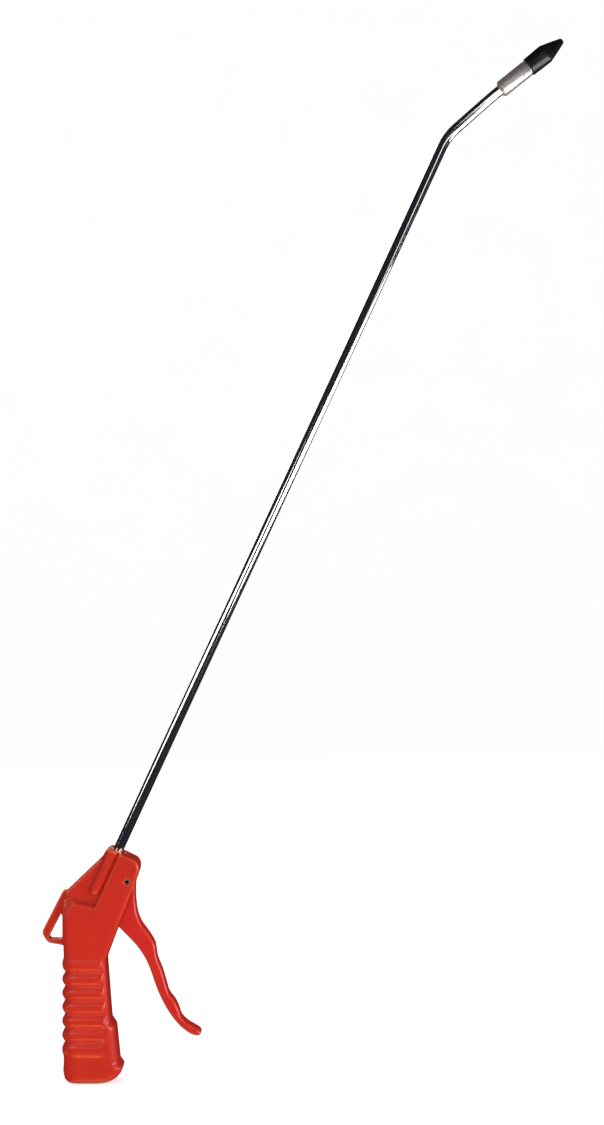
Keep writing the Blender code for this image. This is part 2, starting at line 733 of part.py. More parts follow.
def lever_rear():
    """Knots up the lever's rear, from its toe to where the flat face begins."""
    return [
        (44.6, -95.5), (42.2, -95.8), (38.6, -94.6), (34.0, -91.4), (29.6, -87.0), (24.9, -80.6), (20.8, -73.2),
        (17.4, -65.4), (14.8, -57.8), (12.1, -50.8), (8.6, -44.6), (4.2, -38.8), (-1.2, -33.2), (-5.8, -28.6),
    ]  # fmt: skip


def lever_outline():
    """The lever's side: the scalloped front, the toe, the smooth rear, the flat face and the hub."""
    front = smooth_knots([Vector(knot) * MM for knot in lever_front()], 3)
    rear = smooth_knots([Vector(knot) * MM for knot in lever_rear()], 3)
    flat_end = -CHEEK_WAY * (LEVER_ARM + 2.4 * MM)
    turns = [math.radians(angle) for angle in range(215, 64, -15)]
    hub = [Vector((LEVER_HUB * math.cos(angle), LEVER_HUB * math.sin(angle))) for angle in turns]
    flat_start = -CHEEK_WAY * (LEVER_HUB + 1.6 * MM)
    flat = [Vector((flat_end.x, flat_end.z)), Vector((flat_start.x, flat_start.z))]
    return front + rear + flat + hub


def lever_pocket():
    """The moulding's hollow, open at the rear, that leaves walls of even thickness."""
    front = [Vector(knot) * MM for knot in lever_front()[7:18]]
    inward = LEVER_WALL
    skin = []
    for before, here, after in zip(front, front[1:], front[2:]):
        way = (after - before).normalized()
        skin.append(here + Vector((way.y, -way.x)) * inward)
    rear = [Vector(knot) * MM + Vector((-6, -6)) * MM for knot in lever_rear()[3:11]]
    return smooth_knots(skin, 2) + rear


def lever(plastic):
    obj = plate("lever", lever_outline(), LEVER_WIDTH, 1.3 * MM)
    pocket = plate("cut_pocket", lever_pocket(), LEVER_WIDTH - 2 * LEVER_WALL, 0.0, CUTTERS)
    half = Vector((0.0, LEVER_WIDTH, 0.0))
    obj.location = PIVOT
    pocket.location = PIVOT
    cut(obj, pocket, bore("cut_lever_pin", PIVOT - half, PIVOT + half, PIN_RADIUS + GAP / 2))
    return finish(obj, plastic)


def lever_pin(steel):
    """A rolled pin through both cheeks and the lever's hub, open along its middle."""
    half = HEAD_WIDTH / 2 - PIN_RECESS
    soft = 0.3 * MM
    profile = [
        (PIN_RADIUS - soft, half), (PIN_RADIUS, half - soft), (PIN_RADIUS, soft - half),
        (PIN_RADIUS - soft, -half), (PIN_BORE, -half), (PIN_BORE, half),
    ]  # fmt: skip
    return finish(turned("lever_pin", profile, PIVOT, Vector((0, 1, 0)), closed=True), steel)


# ---------------------------------------------------------------- tube and tip


def bend(start, lean_a, lean_b, radius, steps):
    """Points along an arc that turns forwards and down from one lean to another."""
    out = side(math.cos(lean_a), -math.sin(lean_a))
    centre = start + out * radius
    points = []
    for k in range(1, steps + 1):
        lean = lean_a + (lean_b - lean_a) * k / steps
        points.append(centre - side(math.cos(lean), -math.sin(lean)) * radius)
    return points


def tube_path():
    """The tube's centre line, from inside the head to inside the adapter."""
    cut_back = BEND_RADIUS * math.tan((SPOUT_LEAN - TUBE_LEAN) / 2)
    path = [along_tube(-TUBE_DEPTH), along_tube(TUBE_LENGTH - cut_back)]
    path += bend(path[-1], TUBE_LEAN, SPOUT_LEAN, BEND_RADIUS, 10)
    sweep = TIP_SWEEP * (TIP_LEAN - SPOUT_LEAN)
    path.append(path[-1] + leaning(SPOUT_LEAN) * (SPOUT_LENGTH - cut_back - sweep))
    path += bend(path[-1], SPOUT_LEAN, TIP_LEAN, TIP_SWEEP, 3)
    return path


TIP_WAY = leaning(TIP_LEAN)
ADAPTER_REAR = tube_path()[-1]


def along_tip(forward):
    """A point on the adapter's axis, forward from its rear face."""
    return ADAPTER_REAR + TIP_WAY * forward


def extension_tube(chrome):
    path = tube_path() + [along_tip(ADAPTER_SOCKET - GAP)]
    data = bpy.data.curves.new("extension_tube", "CURVE")
    data.dimensions = "3D"
    data.bevel_depth = TUBE_RADIUS
    data.bevel_resolution = 4
    data.use_fill_caps = False
    spline = data.splines.new("POLY")
    spline.points.add(len(path) - 1)
    for knot, point in zip(spline.points, path):
        knot.co = (*point, 1.0)
    obj = mesh_from_curve(bpy.data.objects.new("extension_tube", data), PARTS)
    wall = obj.modifiers.new("wall", "SOLIDIFY")
    wall.thickness = TUBE_WALL
    wall.offset = -1.0
    return finish(obj, chrome)


def tube_ferrule(brass):
    """The sleeve brazed round the tube's foot, screwed into the head."""
    soft = 0.5 * MM
    inner = TUBE_RADIUS + GAP
    profile = [
        (FERRULE_RADIUS - soft, 0.0), (FERRULE_RADIUS, -soft), (FERRULE_RADIUS, soft - FERRULE_LENGTH),
        (FERRULE_RADIUS - soft, -FERRULE_LENGTH), (inner, -FERRULE_LENGTH), (inner, 0.0),
    ]  # fmt: skip
    origin = along_tube(-0.2 * MM)
    return finish(turned("tube_ferrule", profile, origin, TUBE_WAY, closed=True), brass)


def tube_o_ring(rubber):
    origin = along_tube(-FERRULE_LENGTH - 1.5 * MM)
    return finish(ring("tube_o_ring", origin, TUBE_WAY, TUBE_RADIUS + 0.65 * MM, 0.35 * MM), rubber)


def tip_adapter(nickel):
    """The round adapter on the tube's end: a socket behind, a barbed spigot in front."""
    chamfer = 1.5 * MM
    front = ADAPTER_LENGTH
    barb = SPIGOT_RADIUS + 0.5 * MM
    neck = ADAPTER_RADIUS - 0.55 * MM
    profile = [
        (SPIGOT_RADIUS, front + SPIGOT_LENGTH),
        (barb, front + SPIGOT_LENGTH - 2.6 * MM),
        (SPIGOT_RADIUS, front + SPIGOT_LENGTH - 2.8 * MM),
        (SPIGOT_RADIUS, front),
        (neck, front),
        (neck, front - 0.9 * MM),
        (ADAPTER_RADIUS - 0.2 * MM, front - 0.9 * MM),
        (ADAPTER_RADIUS, front - 1.1 * MM),
        (ADAPTER_RADIUS, chamfer),
        (ADAPTER_RADIUS - chamfer, 0.0),
        (TUBE_RADIUS + GAP, 0.0),
        (TUBE_RADIUS + GAP, ADAPTER_SOCKET),
        (TUBE_RADIUS - TUBE_WALL, ADAPTER_SOCKET),
        (TUBE_RADIUS - TUBE_WALL, front + SPIGOT_LENGTH),
    ]
    return finish(turned("tip_adapter", profile, ADAPTER_REAR, TIP_WAY, closed=True), nickel)


def rubber_tip(rubber):
    """The soft cone that seals against what is blown into."""
    back = GAP
    pocket = SPIGOT_LENGTH + 0.6 * MM
    inner = SPIGOT_RADIUS + 0.5 * MM + GAP
    profile = [
        (TIP_END_RADIUS - 0.4 * MM, TIP_LENGTH),
        (TIP_END_RADIUS, TIP_LENGTH - 0.5 * MM),
        (TIP_SHOULDER_RADIUS, TIP_SHOULDER),
        (TIP_SHOULDER_RADIUS - 0.1 * MM, TIP_SHOULDER - 1.0 * MM),
        (TIP_BACK_RADIUS, back + 0.4 * MM),
        (TIP_BACK_RADIUS - 0.4 * MM, back),
        (inner, back),
        (inner, pocket),
        (TIP_BORE, pocket + 2.0 * MM),
        (TIP_BORE, TIP_LENGTH),
    ]
    return finish(turned("rubber_tip", profile, along_tip(ADAPTER_LENGTH), TIP_WAY, closed=True), rubber)


# ---------------------------------------------------------------- valve


def cartridge_groove(depth):
    """A groove for a sealing ring, centred at a depth, as profile points from its deep side out."""
    half = RING_SECTION + GAP
    floor = CARTRIDGE_RADIUS - 2 * RING_SECTION - GAP
    return [
        (CARTRIDGE_RADIUS, depth + half), (floor, depth + half),
        (floor, depth - half), (CARTRIDGE_RADIUS, depth - half),
    ]  # fmt: skip


FRONT_GROOVE = CROSS_DEPTH - WAIST_HALF - 1.6 * MM
REAR_GROOVE = CROSS_DEPTH + WAIST_HALF + REAR_LAND / 2 - 0.15 * MM
GUIDE_START = VALVE_FRONT + 1.0 * MM
STEM_RING = GUIDE_START + GUIDE_LENGTH + GAP + 0.45 * MM


def valve_cartridge(brass):
    """The turned valve body, screwed into the head from the slot, with a waist and four cross holes."""
    guide = STEM_RADIUS + 1.2 * MM
    profile = [
        (CARTRIDGE_BORE + 0.8 * MM, SEAT_DEPTH),
        (CARTRIDGE_RADIUS - 0.3 * MM, SEAT_DEPTH),
        (CARTRIDGE_RADIUS, SEAT_DEPTH - 0.3 * MM),
        *cartridge_groove(REAR_GROOVE),
        (CARTRIDGE_RADIUS, CROSS_DEPTH + WAIST_HALF),
        (WAIST_RADIUS, CROSS_DEPTH + WAIST_HALF),
        (WAIST_RADIUS, CROSS_DEPTH - WAIST_HALF),
        (CARTRIDGE_RADIUS, CROSS_DEPTH - WAIST_HALF),
        *cartridge_groove(FRONT_GROOVE),
        (CARTRIDGE_RADIUS, VALVE_FRONT + 0.5 * MM),
        (CARTRIDGE_RADIUS - 0.5 * MM, VALVE_FRONT),
        (STEM_RADIUS + GAP, VALVE_FRONT),
        (STEM_RADIUS + GAP, GUIDE_START - GAP),
        (guide + GAP, GUIDE_START - GAP),
        (guide + GAP, STEM_RING + 0.8 * MM),
        (CARTRIDGE_BORE, STEM_RING + 0.8 * MM),
        (CARTRIDGE_BORE, SEAT_DEPTH - 0.8 * MM),
    ]
    obj = turned("valve_cartridge", profile, CONTACT, VALVE_WAY, closed=True)
    hole = 1.3 * MM
    up = CHEEK_WAY * CARTRIDGE_RADIUS
    across = Vector((0.0, CARTRIDGE_RADIUS, 0.0))
    slot = 0.6 * MM
    ends = (-CARTRIDGE_RADIUS - REACH, CARTRIDGE_RADIUS + REACH)
    driver = [corner(along_valve(VALVE_FRONT - REACH, end)) for end in ends]
    driver += [corner(along_valve(VALVE_FRONT + slot, end)) for end in reversed(ends)]
    cut(
        obj,
        bore("cut_cross_high", CROSS_POINT, CROSS_POINT + up, hole),
        bore("cut_cross_low", CROSS_POINT, CROSS_POINT - up, hole),
        bore("cut_cross_left", CROSS_POINT, CROSS_POINT - across, hole),
        bore("cut_cross_right", CROSS_POINT, CROSS_POINT + across, hole),
        plate("cut_driver", rounded(driver), 1.2 * MM, 0.0, CUTTERS),
    )
    return finish(obj, brass)


def cartridge_ring(name, depth, rubber):
    radius = CARTRIDGE_RADIUS - RING_SECTION
    return finish(ring(name, along_valve(depth), VALVE_WAY, radius, RING_SECTION), rubber)


def stem_guide(acetal):
    """The plain bearing that the stem slides in."""
    profile = sleeve(STEM_RADIUS + 1.2 * MM, STEM_RADIUS + 0.1 * MM, GUIDE_START, GUIDE_START + GUIDE_LENGTH)
    return finish(turned("stem_guide", profile, CONTACT, VALVE_WAY, closed=True), acetal)


def stem_o_ring(rubber):
    return finish(ring("stem_o_ring", along_valve(STEM_RING), VALVE_WAY, STEM_RADIUS + 0.65 * MM, 0.4 * MM), rubber)


def valve_stem(steel):
    """The rod that the lever pushes: a domed tip, a plain shank and a thin tail that carries the poppet."""
    tip = [(STEM_RADIUS, GAP + 0.9 * MM), (0.75 * STEM_RADIUS, GAP + 0.35 * MM), (0.0, GAP)]
    tail_end = NUT_DEPTH + NUT_THICKNESS + 0.4 * MM
    profile = [(0.0, tail_end), (STEM_NECK, tail_end), (STEM_NECK, SEAT_DEPTH - GAP), (STEM_RADIUS, SEAT_DEPTH - GAP)]
    return finish(turned("valve_stem", profile + tip, CONTACT, VALVE_WAY), steel)


def poppet_seal(rubber):
    """The face seal that closes on the cartridge's rim."""
    profile = sleeve(POPPET_RADIUS - 0.2 * MM, STEM_NECK + GAP, SEAL_DEPTH, SEAL_DEPTH + SEAL_THICKNESS)
    return finish(turned("poppet_seal", profile, CONTACT, VALVE_WAY, closed=True), rubber)


def valve_poppet(brass):
    """The disc behind the seal, which the spring pushes."""
    profile = sleeve(POPPET_RADIUS, STEM_NECK + GAP, POPPET_DEPTH, POPPET_DEPTH + POPPET_THICKNESS)
    return finish(turned("valve_poppet", profile, CONTACT, VALVE_WAY, closed=True), brass)


def poppet_nut(brass):
    profile = sleeve(NUT_RADIUS, STEM_NECK + GAP, NUT_DEPTH, NUT_DEPTH + NUT_THICKNESS)
    return finish(turned("poppet_nut", profile, CONTACT, VALVE_WAY, closed=True), brass)


def valve_spring(steel):
    """The coil between the poppet and the chamber's end."""
    low = POPPET_DEPTH + POPPET_THICKNESS + GAP + SPRING_WIRE
    high = CHAMBER_DEPTH - GAP - SPRING_WIRE
    radius = POPPET_RADIUS - 0.6 * MM - SPRING_WIRE
    per_turn = 14
    count = SPRING_TURNS * per_turn
    data = bpy.data.curves.new("valve_spring", "CURVE")
    data.dimensions = "3D"
    data.bevel_depth = SPRING_WIRE
    data.bevel_resolution = 2
    data.use_fill_caps = True
    spline = data.splines.new("POLY")
    spline.points.add(count)
    for k, knot in enumerate(spline.points):
        angle = 2 * math.pi * k / per_turn
        height = low + (high - low) * k / count
        knot.co = (radius * math.cos(angle), radius * math.sin(angle), height, 1.0)
    curve = aim(bpy.data.objects.new("valve_spring", data), CONTACT, VALVE_WAY)
    return finish(mesh_from_curve(curve, PARTS), steel)


# ---------------------------------------------------------------- inlet


def inlet_bushing(brass):
    """The brass insert in the grip's base, with the pipe thread's bore and a groove for its ring."""
    soft = 0.5 * MM
    half = RING_SECTION + GAP
    floor = INLET_RADIUS - 2 * RING_SECTION - GAP
    duct = DUCT_RADIUS + 0.4 * MM
    profile = [
        (INLET_RADIUS - soft, INLET_LENGTH),
        (INLET_RADIUS, INLET_LENGTH - soft),
        (INLET_RADIUS, INLET_RING_HEIGHT + half),
        (floor, INLET_RING_HEIGHT + half),
        (floor, INLET_RING_HEIGHT - half),
        (INLET_RADIUS, INLET_RING_HEIGHT - half),
        (INLET_RADIUS, 0.0),
        (INLET_BORE + 0.8 * MM, 0.0),
        (INLET_BORE, 0.8 * MM),
        (INLET_BORE - 0.3 * MM, INLET_LENGTH - 3.0 * MM),
        (duct, INLET_LENGTH - 2.0 * MM),
        (duct, INLET_LENGTH),
    ]
    return finish(turned("inlet_bushing", profile, side(0, 0), Vector((0, 0, 1)), closed=True), brass)


def inlet_o_ring(rubber):
    origin = side(0, INLET_RING_HEIGHT)
    radius = INLET_RADIUS - RING_SECTION
    return finish(ring("inlet_o_ring", origin, Vector((0, 0, 1)), radius, RING_SECTION), rubber)


# ---------------------------------------------------------------- assembly


def moving_frame(name, origin, way, *pieces):
    """An empty on a joint's axis that carries the pieces that move with it."""
    empty = aim(place(bpy.data.objects.new(name, None)), origin, way)
    bpy.context.view_layer.update()
    for piece in pieces:
        piece.parent = empty
        piece.matrix_parent_inverse = empty.matrix_world.inverted()


def build():
    for obj in list(bpy.data.objects):
        bpy.data.objects.remove(obj)
    for collection in (PARTS, CUTTERS):
        bpy.context.scene.collection.children.link(collection)
    brass = turned_brass()
    rubber = seal_rubber()
    steel = plain_steel()
    body(red_plastic())
    squeeze = lever(lever_plastic())
    lever_pin(steel)
    extension_tube(polished_chrome())
    tube_ferrule(brass)
    tube_o_ring(rubber)
    tip_adapter(bright_nickel())
    rubber_tip(black_rubber())
    valve_cartridge(brass)
    cartridge_ring("cartridge_front_o_ring", FRONT_GROOVE, rubber)
    cartridge_ring("cartridge_rear_o_ring", REAR_GROOVE, rubber)
    stem_guide(white_acetal())
    stem_o_ring(rubber)
    stem = valve_stem(steel)
    stem_group = [stem, poppet_seal(rubber), valve_poppet(brass), poppet_nut(brass)]
    valve_spring(steel)
    inlet_bushing(brass)
    inlet_o_ring(rubber)
    moving_frame("lever_hinge", PIVOT, Vector((0, 1, 0)), squeeze)
    moving_frame("stem_slide", CONTACT, VALVE_WAY, *stem_group)
    CUTTERS.hide_render = True


build()
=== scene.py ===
"""A lever blow gun: its fine surfaces, materials, light and camera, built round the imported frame.

Units are metres. +Z runs up the grip, +X points forwards from the grip to the lever, and XZ is the plane of
symmetry.
"""

import json
import math

import bmesh
import bpy
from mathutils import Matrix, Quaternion, Vector


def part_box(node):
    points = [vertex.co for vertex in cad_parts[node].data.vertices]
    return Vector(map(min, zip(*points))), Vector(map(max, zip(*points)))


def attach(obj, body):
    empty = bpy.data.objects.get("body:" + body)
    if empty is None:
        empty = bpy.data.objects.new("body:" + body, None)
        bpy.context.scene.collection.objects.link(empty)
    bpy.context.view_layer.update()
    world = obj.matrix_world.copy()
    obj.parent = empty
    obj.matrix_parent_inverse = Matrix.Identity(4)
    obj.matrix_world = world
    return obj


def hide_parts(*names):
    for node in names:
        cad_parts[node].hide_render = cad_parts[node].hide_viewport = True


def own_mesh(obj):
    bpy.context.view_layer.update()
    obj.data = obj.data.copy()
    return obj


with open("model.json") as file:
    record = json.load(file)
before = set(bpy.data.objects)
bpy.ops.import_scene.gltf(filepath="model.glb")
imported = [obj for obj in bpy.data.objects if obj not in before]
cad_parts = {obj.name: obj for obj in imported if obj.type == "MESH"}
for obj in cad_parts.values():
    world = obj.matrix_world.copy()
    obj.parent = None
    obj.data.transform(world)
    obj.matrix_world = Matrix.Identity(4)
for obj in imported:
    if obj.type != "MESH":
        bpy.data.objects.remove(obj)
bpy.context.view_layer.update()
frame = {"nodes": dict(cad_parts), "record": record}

MM = 0.001

# Making of surfaces
WELD = 0.001 * MM  # points nearer than this are one
ROUND_SIDES = 96
PLAIN_SIDES = 72
EDGE_TURN = math.radians(30)  # edges that turn more than this are softened
EDGE_STEPS = 3

# Moulded pieces
SKIN = 0.45 * MM  # grid on which the moulded pieces' soft surfaces are made
SMOOTHING = 0.5
BODY_SOFTENING = 14
LEVER_SOFTENING = 12

# Plain colour, painted edge highlight and painted hollow shade of the red nylon
GRIP_REDS = ((0.550, 0.023, 0.010), (0.74, 0.175, 0.040), (0.36, 0.013, 0.010))
LEVER_REDS = ((0.560, 0.018, 0.013), (0.70, 0.110, 0.028), (0.38, 0.013, 0.010))

# Extension tube, as in the frame
TUBE_RADIUS = 3.175 * MM
TUBE_LEAN = math.radians(24.74)
TUBE_ROOT = Vector((16.3 * MM, 0.0, 142.2 * MM))  # centre of the head's end face
TUBE_LENGTH = 486.6 * MM
TUBE_DEPTH = 14.0 * MM
TUBE_WALL = 0.9 * MM
TUBE_ROUNDNESS = 14
BEND_RADIUS = 37.0 * MM
BEND_STEPS = 28
SPOUT_LEAN = math.radians(48.6)
SPOUT_LENGTH = 43.4 * MM
TIP_LEAN = math.radians(51.2)
TIP_SWEEP = 260.0 * MM
SWEEP_STEPS = 8

# Tip adapter and rubber tip
ADAPTER_RADIUS = 5.15 * MM
ADAPTER_LENGTH = 22.8 * MM
ADAPTER_SOCKET = 14.0 * MM
ADAPTER_CHAMFER = 1.5 * MM
ADAPTER_EDGE = 0.12 * MM
COLLAR_STEP = 0.5 * MM
COLLAR_LENGTH = 0.9 * MM
COLLAR_SLOPE = 0.2 * MM
SLIP_FIT = 0.1 * MM
SPIGOT_RADIUS = 3.0 * MM
SPIGOT_LENGTH = 9.0 * MM
BARB_RISE = 0.5 * MM
BARB_LENGTH = 2.6 * MM
BARB_SLOPE = 0.2 * MM
TIP_BACK_RADIUS = 5.8 * MM
TIP_SHOULDER_RADIUS = 6.1 * MM
TIP_SHOULDER = 13.4 * MM
TIP_LENGTH = 27.1 * MM
TIP_END_RADIUS = 1.8 * MM
TIP_BORE = 0.9 * MM
TIP_EDGE = 0.14 * MM
TIP_BACK_GAP = 0.05 * MM
TIP_BACK_CHAMFER = (0.35 * MM, 0.5 * MM)  # across, along
TIP_POCKET_CLEARANCE = 0.6 * MM
TIP_POCKET_SLOPE = 2.0 * MM
NOSE_CROWN = 0.12 * MM
NOSE_STEPS = 10
NOSE_ROUND = 0.5 * MM
SHOULDER_FADE = (0.05 * MM, 1.2 * MM)  # inwards, backwards
GAP = 0.3 * MM

# Lever pin
PIN_RADIUS = 1.6 * MM
PIN_BORE = 0.95 * MM
PIN_SLIT = 0.5 * MM
PIN_EDGE = 0.12 * MM
PIN_STEPS = 40

# Inlet
INLET_RADIUS = 9.0 * MM
INLET_BORE = 5.9 * MM
INLET_LENGTH = 19.0 * MM
INLET_RING_HEIGHT = 13.5 * MM
INLET_CHAMFER = 0.8 * MM
DUCT_RADIUS = 3.5 * MM
RING_SECTION = 0.5 * MM
THREAD_PITCH = 1.41 * MM
THREAD_DEPTH = 0.55 * MM
THREAD_START = 1.0 * MM
THREAD_COUNT = 11
THREAD_FLOOR = 0.3 * MM
DUCT_SLOPE = 1.0 * MM

# Valve spring
SPRING_WIRE = 0.3 * MM
SPRING_TURNS = 4
SPRING_STEPS = 40  # on each turn
SPRING_ROUNDNESS = 3
SPRING_CLEARANCE = 0.05 * MM

# Camera and room
CAMERA_PLACE = (0.1302, -1.24, 0.3202)
CAMERA_LENS = 64.0
SENSOR_HEIGHT = 36.0
FLOOR_HEIGHT = -0.6 * MM
ROOM_RADIUS = 5.0
ROOM_HEIGHT = 6.0
ROOM_CORNER = 1.5
ROOM_CORNER_STEPS = 12
PAPER_GLOW = 0.55
EVEN_LIGHT = 0.47
WHITE_LIGHT = (1.0, 1.0, 1.0)
ORANGE_LIGHT = (1.0, 0.42, 0.12)
ROOM_SHADES = (  # how far down a reflection looks, and what it sees there
    (0.0, (0.012, 0.012, 0.017)),
    (1.0, (0.42, 0.43, 0.45)),
    (0.70, (0.018, 0.017, 0.024)),
)

JOINTS = {joint["name"]: joint for joint in frame["record"]["behaviour"]["joints"]}
PIVOT = Vector(JOINTS["lever_hinge"]["pos_m"])
VALVE_WAY = Vector(JOINTS["stem_slide"]["axis"])


def leaning(angle):
    """The direction that leans forwards from vertical by an angle."""
    return Vector((math.sin(angle), 0.0, math.cos(angle)))


UP = Vector((0.0, 0.0, 1.0))
TUBE_WAY = leaning(TUBE_LEAN)
TIP_WAY = leaning(TIP_LEAN)


# ---------------------------------------------------------------- tools


def place(obj):
    bpy.context.scene.collection.objects.link(obj)
    return obj


def aim(obj, origin, way):
    """Stands an object at origin with its own Z along way."""
    obj.location = origin
    obj.rotation_euler = way.to_track_quat("Z", "Y").to_euler()
    return obj


def settle(obj):
    """Applies an object's modifiers, welds what coincides and turns its faces outwards."""
    bpy.context.view_layer.update()
    graph = bpy.context.evaluated_depsgraph_get()
    mesh = bpy.data.meshes.new_from_object(obj.evaluated_get(graph))
    shape = bmesh.new()
    shape.from_mesh(mesh)
    bmesh.ops.remove_doubles(shape, verts=shape.verts, dist=WELD)
    bmesh.ops.recalc_face_normals(shape, faces=shape.faces)
    shape.to_mesh(mesh)
    shape.free()
    if obj.type == "MESH":
        obj.modifiers.clear()
        obj.data = mesh
        return obj
    name, matrix = obj.name, obj.matrix_world.copy()
    bpy.data.objects.remove(obj)
    made = place(bpy.data.objects.new(name, mesh))
    made.name = name
    made.matrix_world = matrix
    return made


def dress(obj, material, body, slot, *nodes, sharp=40):
    """Gives a piece its material, shading and body, and hides the CAD nodes it stands for; its slot is not
    used.
    """
    obj.data.materials.clear()
    obj.data.materials.append(material)
    obj.data.shade_smooth()
    if sharp:
        obj.data.set_sharp_from_angle(angle=math.radians(sharp))
    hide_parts(*nodes)
    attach(obj, body)
    return obj


def turned(name, profile, origin, way, sides=PLAIN_SIDES, soft=0.0, closed=True):
    """A profile of (radius, height), down its outer side first, turned about an axis, its edges softened."""
    mesh = bpy.data.meshes.new(name)
    edges = [(i, i + 1) for i in range(len(profile) - 1)]
    if closed:
        edges.append((len(profile) - 1, 0))
    mesh.from_pydata([(r, 0.0, h) for r, h in profile], edges, [])
    obj = aim(place(bpy.data.objects.new(name, mesh)), origin, way)
    screw = obj.modifiers.new("turn", "SCREW")
    screw.axis = "Z"
    screw.steps = sides
    screw.render_steps = sides
    screw.use_merge_vertices = True
    screw.merge_threshold = WELD
    settle(obj)
    if soft:
        bevel = obj.modifiers.new("soft edges", "BEVEL")
        bevel.width = soft
        bevel.segments = EDGE_STEPS
        bevel.limit_method = "ANGLE"
        bevel.angle_limit = EDGE_TURN
        settle(obj)
    return obj


def swept(name, path, radius, resolution):
    """A round rod along a path."""
    data = bpy.data.curves.new(name, "CURVE")
    data.dimensions = "3D"
    data.bevel_depth = radius
    data.bevel_resolution = resolution
    data.use_fill_caps = True
    spline = data.splines.new("POLY")
    spline.points.add(len(path) - 1)
    for knot, point in zip(spline.points, path):
        knot.co = (*point, 1.0)
    return place(bpy.data.objects.new(name, data))


# ---------------------------------------------------------------- material tools


class Nodes:
    """Short names for building one material's nodes."""

    def __init__(self, name, roughness, metallic=0.0):
        self.material = bpy.data.materials.new(name)
        self.material.use_nodes = True
        self.tree = self.material.node_tree
        self.shader = self.tree.nodes["Principled BSDF"]
        self.set(self.shader, Roughness=roughness, Metallic=metallic)
        self.place = self.tree.nodes.new("ShaderNodeTexCoord").outputs["Object"]

    def set(self, node, **values):
        for name, value in values.items():
            node.inputs[name.replace("_", " ")].default_value = value
        return node

    def link(self, output, node, name):
        self.tree.links.new(output, node.inputs[name])

    def scaled(self, factors):
        """The object's coordinates stretched along each axis."""
        node = self.tree.nodes.new("ShaderNodeMapping")
        node.inputs["Scale"].default_value = factors
        self.link(self.place, node, "Vector")
        return node.outputs["Vector"]

    def noise(self, scale, detail=4.0, vector=None):
        node = self.tree.nodes.new("ShaderNodeTexNoise")
        self.set(node, Scale=scale, Detail=detail, Roughness=0.55)
        self.link(vector or self.place, node, "Vector")
        return node.outputs["Fac"]

    def span(self, value, low, high, to_low, to_high):
        """value from low..high mapped to to_low..to_high, held at both ends."""
        node = self.tree.nodes.new("ShaderNodeMapRange")
        for index, number in enumerate((low, high, to_low, to_high), start=1):
            node.inputs[index].default_value = number
        self.tree.links.new(value, node.inputs[0])
        return node.outputs[0]

    def mix(self, factor, first, second):
        """Between two colours; each is a colour or an output."""
        node = self.tree.nodes.new("ShaderNodeMix")
        node.data_type = "RGBA"
        sockets = [socket for socket in node.inputs if socket.type == "RGBA"]
        for socket, colour in zip(sockets, (first, second)):
            if isinstance(colour, tuple):
                socket.default_value = (*colour, 1.0)
            else:
                self.tree.links.new(colour, socket)
        self.tree.links.new(factor, node.inputs[0])
        return [socket for socket in node.outputs if socket.type == "RGBA"][0]

    def bump(self, height, strength, depth):
        """Relief of a height in metres, added to any relief made before."""
        node = self.set(self.tree.nodes.new("ShaderNodeBump"), Strength=strength, Distance=depth)
        self.link(height, node, "Height")
        normal = self.shader.inputs["Normal"]
        if normal.is_linked:
            self.link(normal.links[0].from_socket, node, "Normal")
        self.tree.links.new(node.outputs["Normal"], normal)

    def edge(self):
        """High on raised edges, low in hollows, about 0.5 where flat."""
        return self.tree.nodes.new("ShaderNodeNewGeometry").outputs["Pointiness"]


# ---------------------------------------------------------------- materials


def moulded_plastic(name, plain, painted_edge_highlight, painted_hollow_shade):
    """Satin nylon: fine moulding texture, faint flow marks, a painted highlight on raised edges and painted
    shade in hollows.
    """
    made = Nodes(name, 0.4)
    flow = made.noise(38.0, 5.0, made.scaled((1.0, 1.0, 0.45)))
    cloudy = made.mix(made.span(flow, 0.35, 0.65, 0.0, 1.0), plain, tuple(0.9 * part for part in plain))
    # painted shade: where pointiness is low, hollows and creases are darkened towards a deep red
    deep = made.mix(made.span(made.edge(), 0.40, 0.475, 1.0, 0.0), cloudy, painted_hollow_shade)
    # painted highlight: where pointiness is high, raised edges are paled towards an orange edge colour
    pale = made.mix(made.span(made.edge(), 0.510, 0.545, 0.0, 1.0), deep, painted_edge_highlight)
    made.link(pale, made.shader, "Base Color")
    made.link(made.span(made.noise(420.0, 3.0), 0.3, 0.7, 0.27, 0.38), made.shader, "Roughness")
    made.bump(made.noise(2600.0, 2.0), 0.18, 0.03 * MM)
    made.bump(made.noise(160.0, 3.0), 0.2, 0.05 * MM)
    made.set(made.shader, Specular_IOR_Level=0.3, Coat_Weight=0.12, Coat_Roughness=0.14)
    return made.material


def chrome():
    """Bright plating with a faint haze and slight waves."""
    made = Nodes("tube_chrome", 0.05, 1.0)
    haze = made.noise(55.0, 4.0)
    tone = made.mix(made.span(haze, 0.3, 0.7, 0.0, 1.0), (0.9, 0.91, 0.93), (0.8, 0.81, 0.84))
    made.link(tone, made.shader, "Base Color")
    made.link(made.span(made.noise(700.0, 3.0), 0.35, 0.75, 0.08, 0.14), made.shader, "Roughness")
    made.bump(made.noise(34.0, 2.0), 0.12, 0.2 * MM)
    return made.material


def nickel():
    """Plated turned metal: fine rings round its own axis and a warm tone."""
    made = Nodes("adapter_nickel", 0.24, 0.8)
    rings = made.noise(3.0, 6.0, made.scaled((30.0, 30.0, 2600.0)))
    tone = made.span(made.noise(160.0, 3.0), 0.35, 0.65, 0.0, 1.0)
    made.link(made.mix(tone, (0.74, 0.67, 0.66), (0.62, 0.55, 0.55)), made.shader, "Base Color")
    made.link(made.span(rings, 0.3, 0.7, 0.24, 0.38), made.shader, "Roughness")
    made.bump(rings, 0.05, 0.02 * MM)
    return made.material


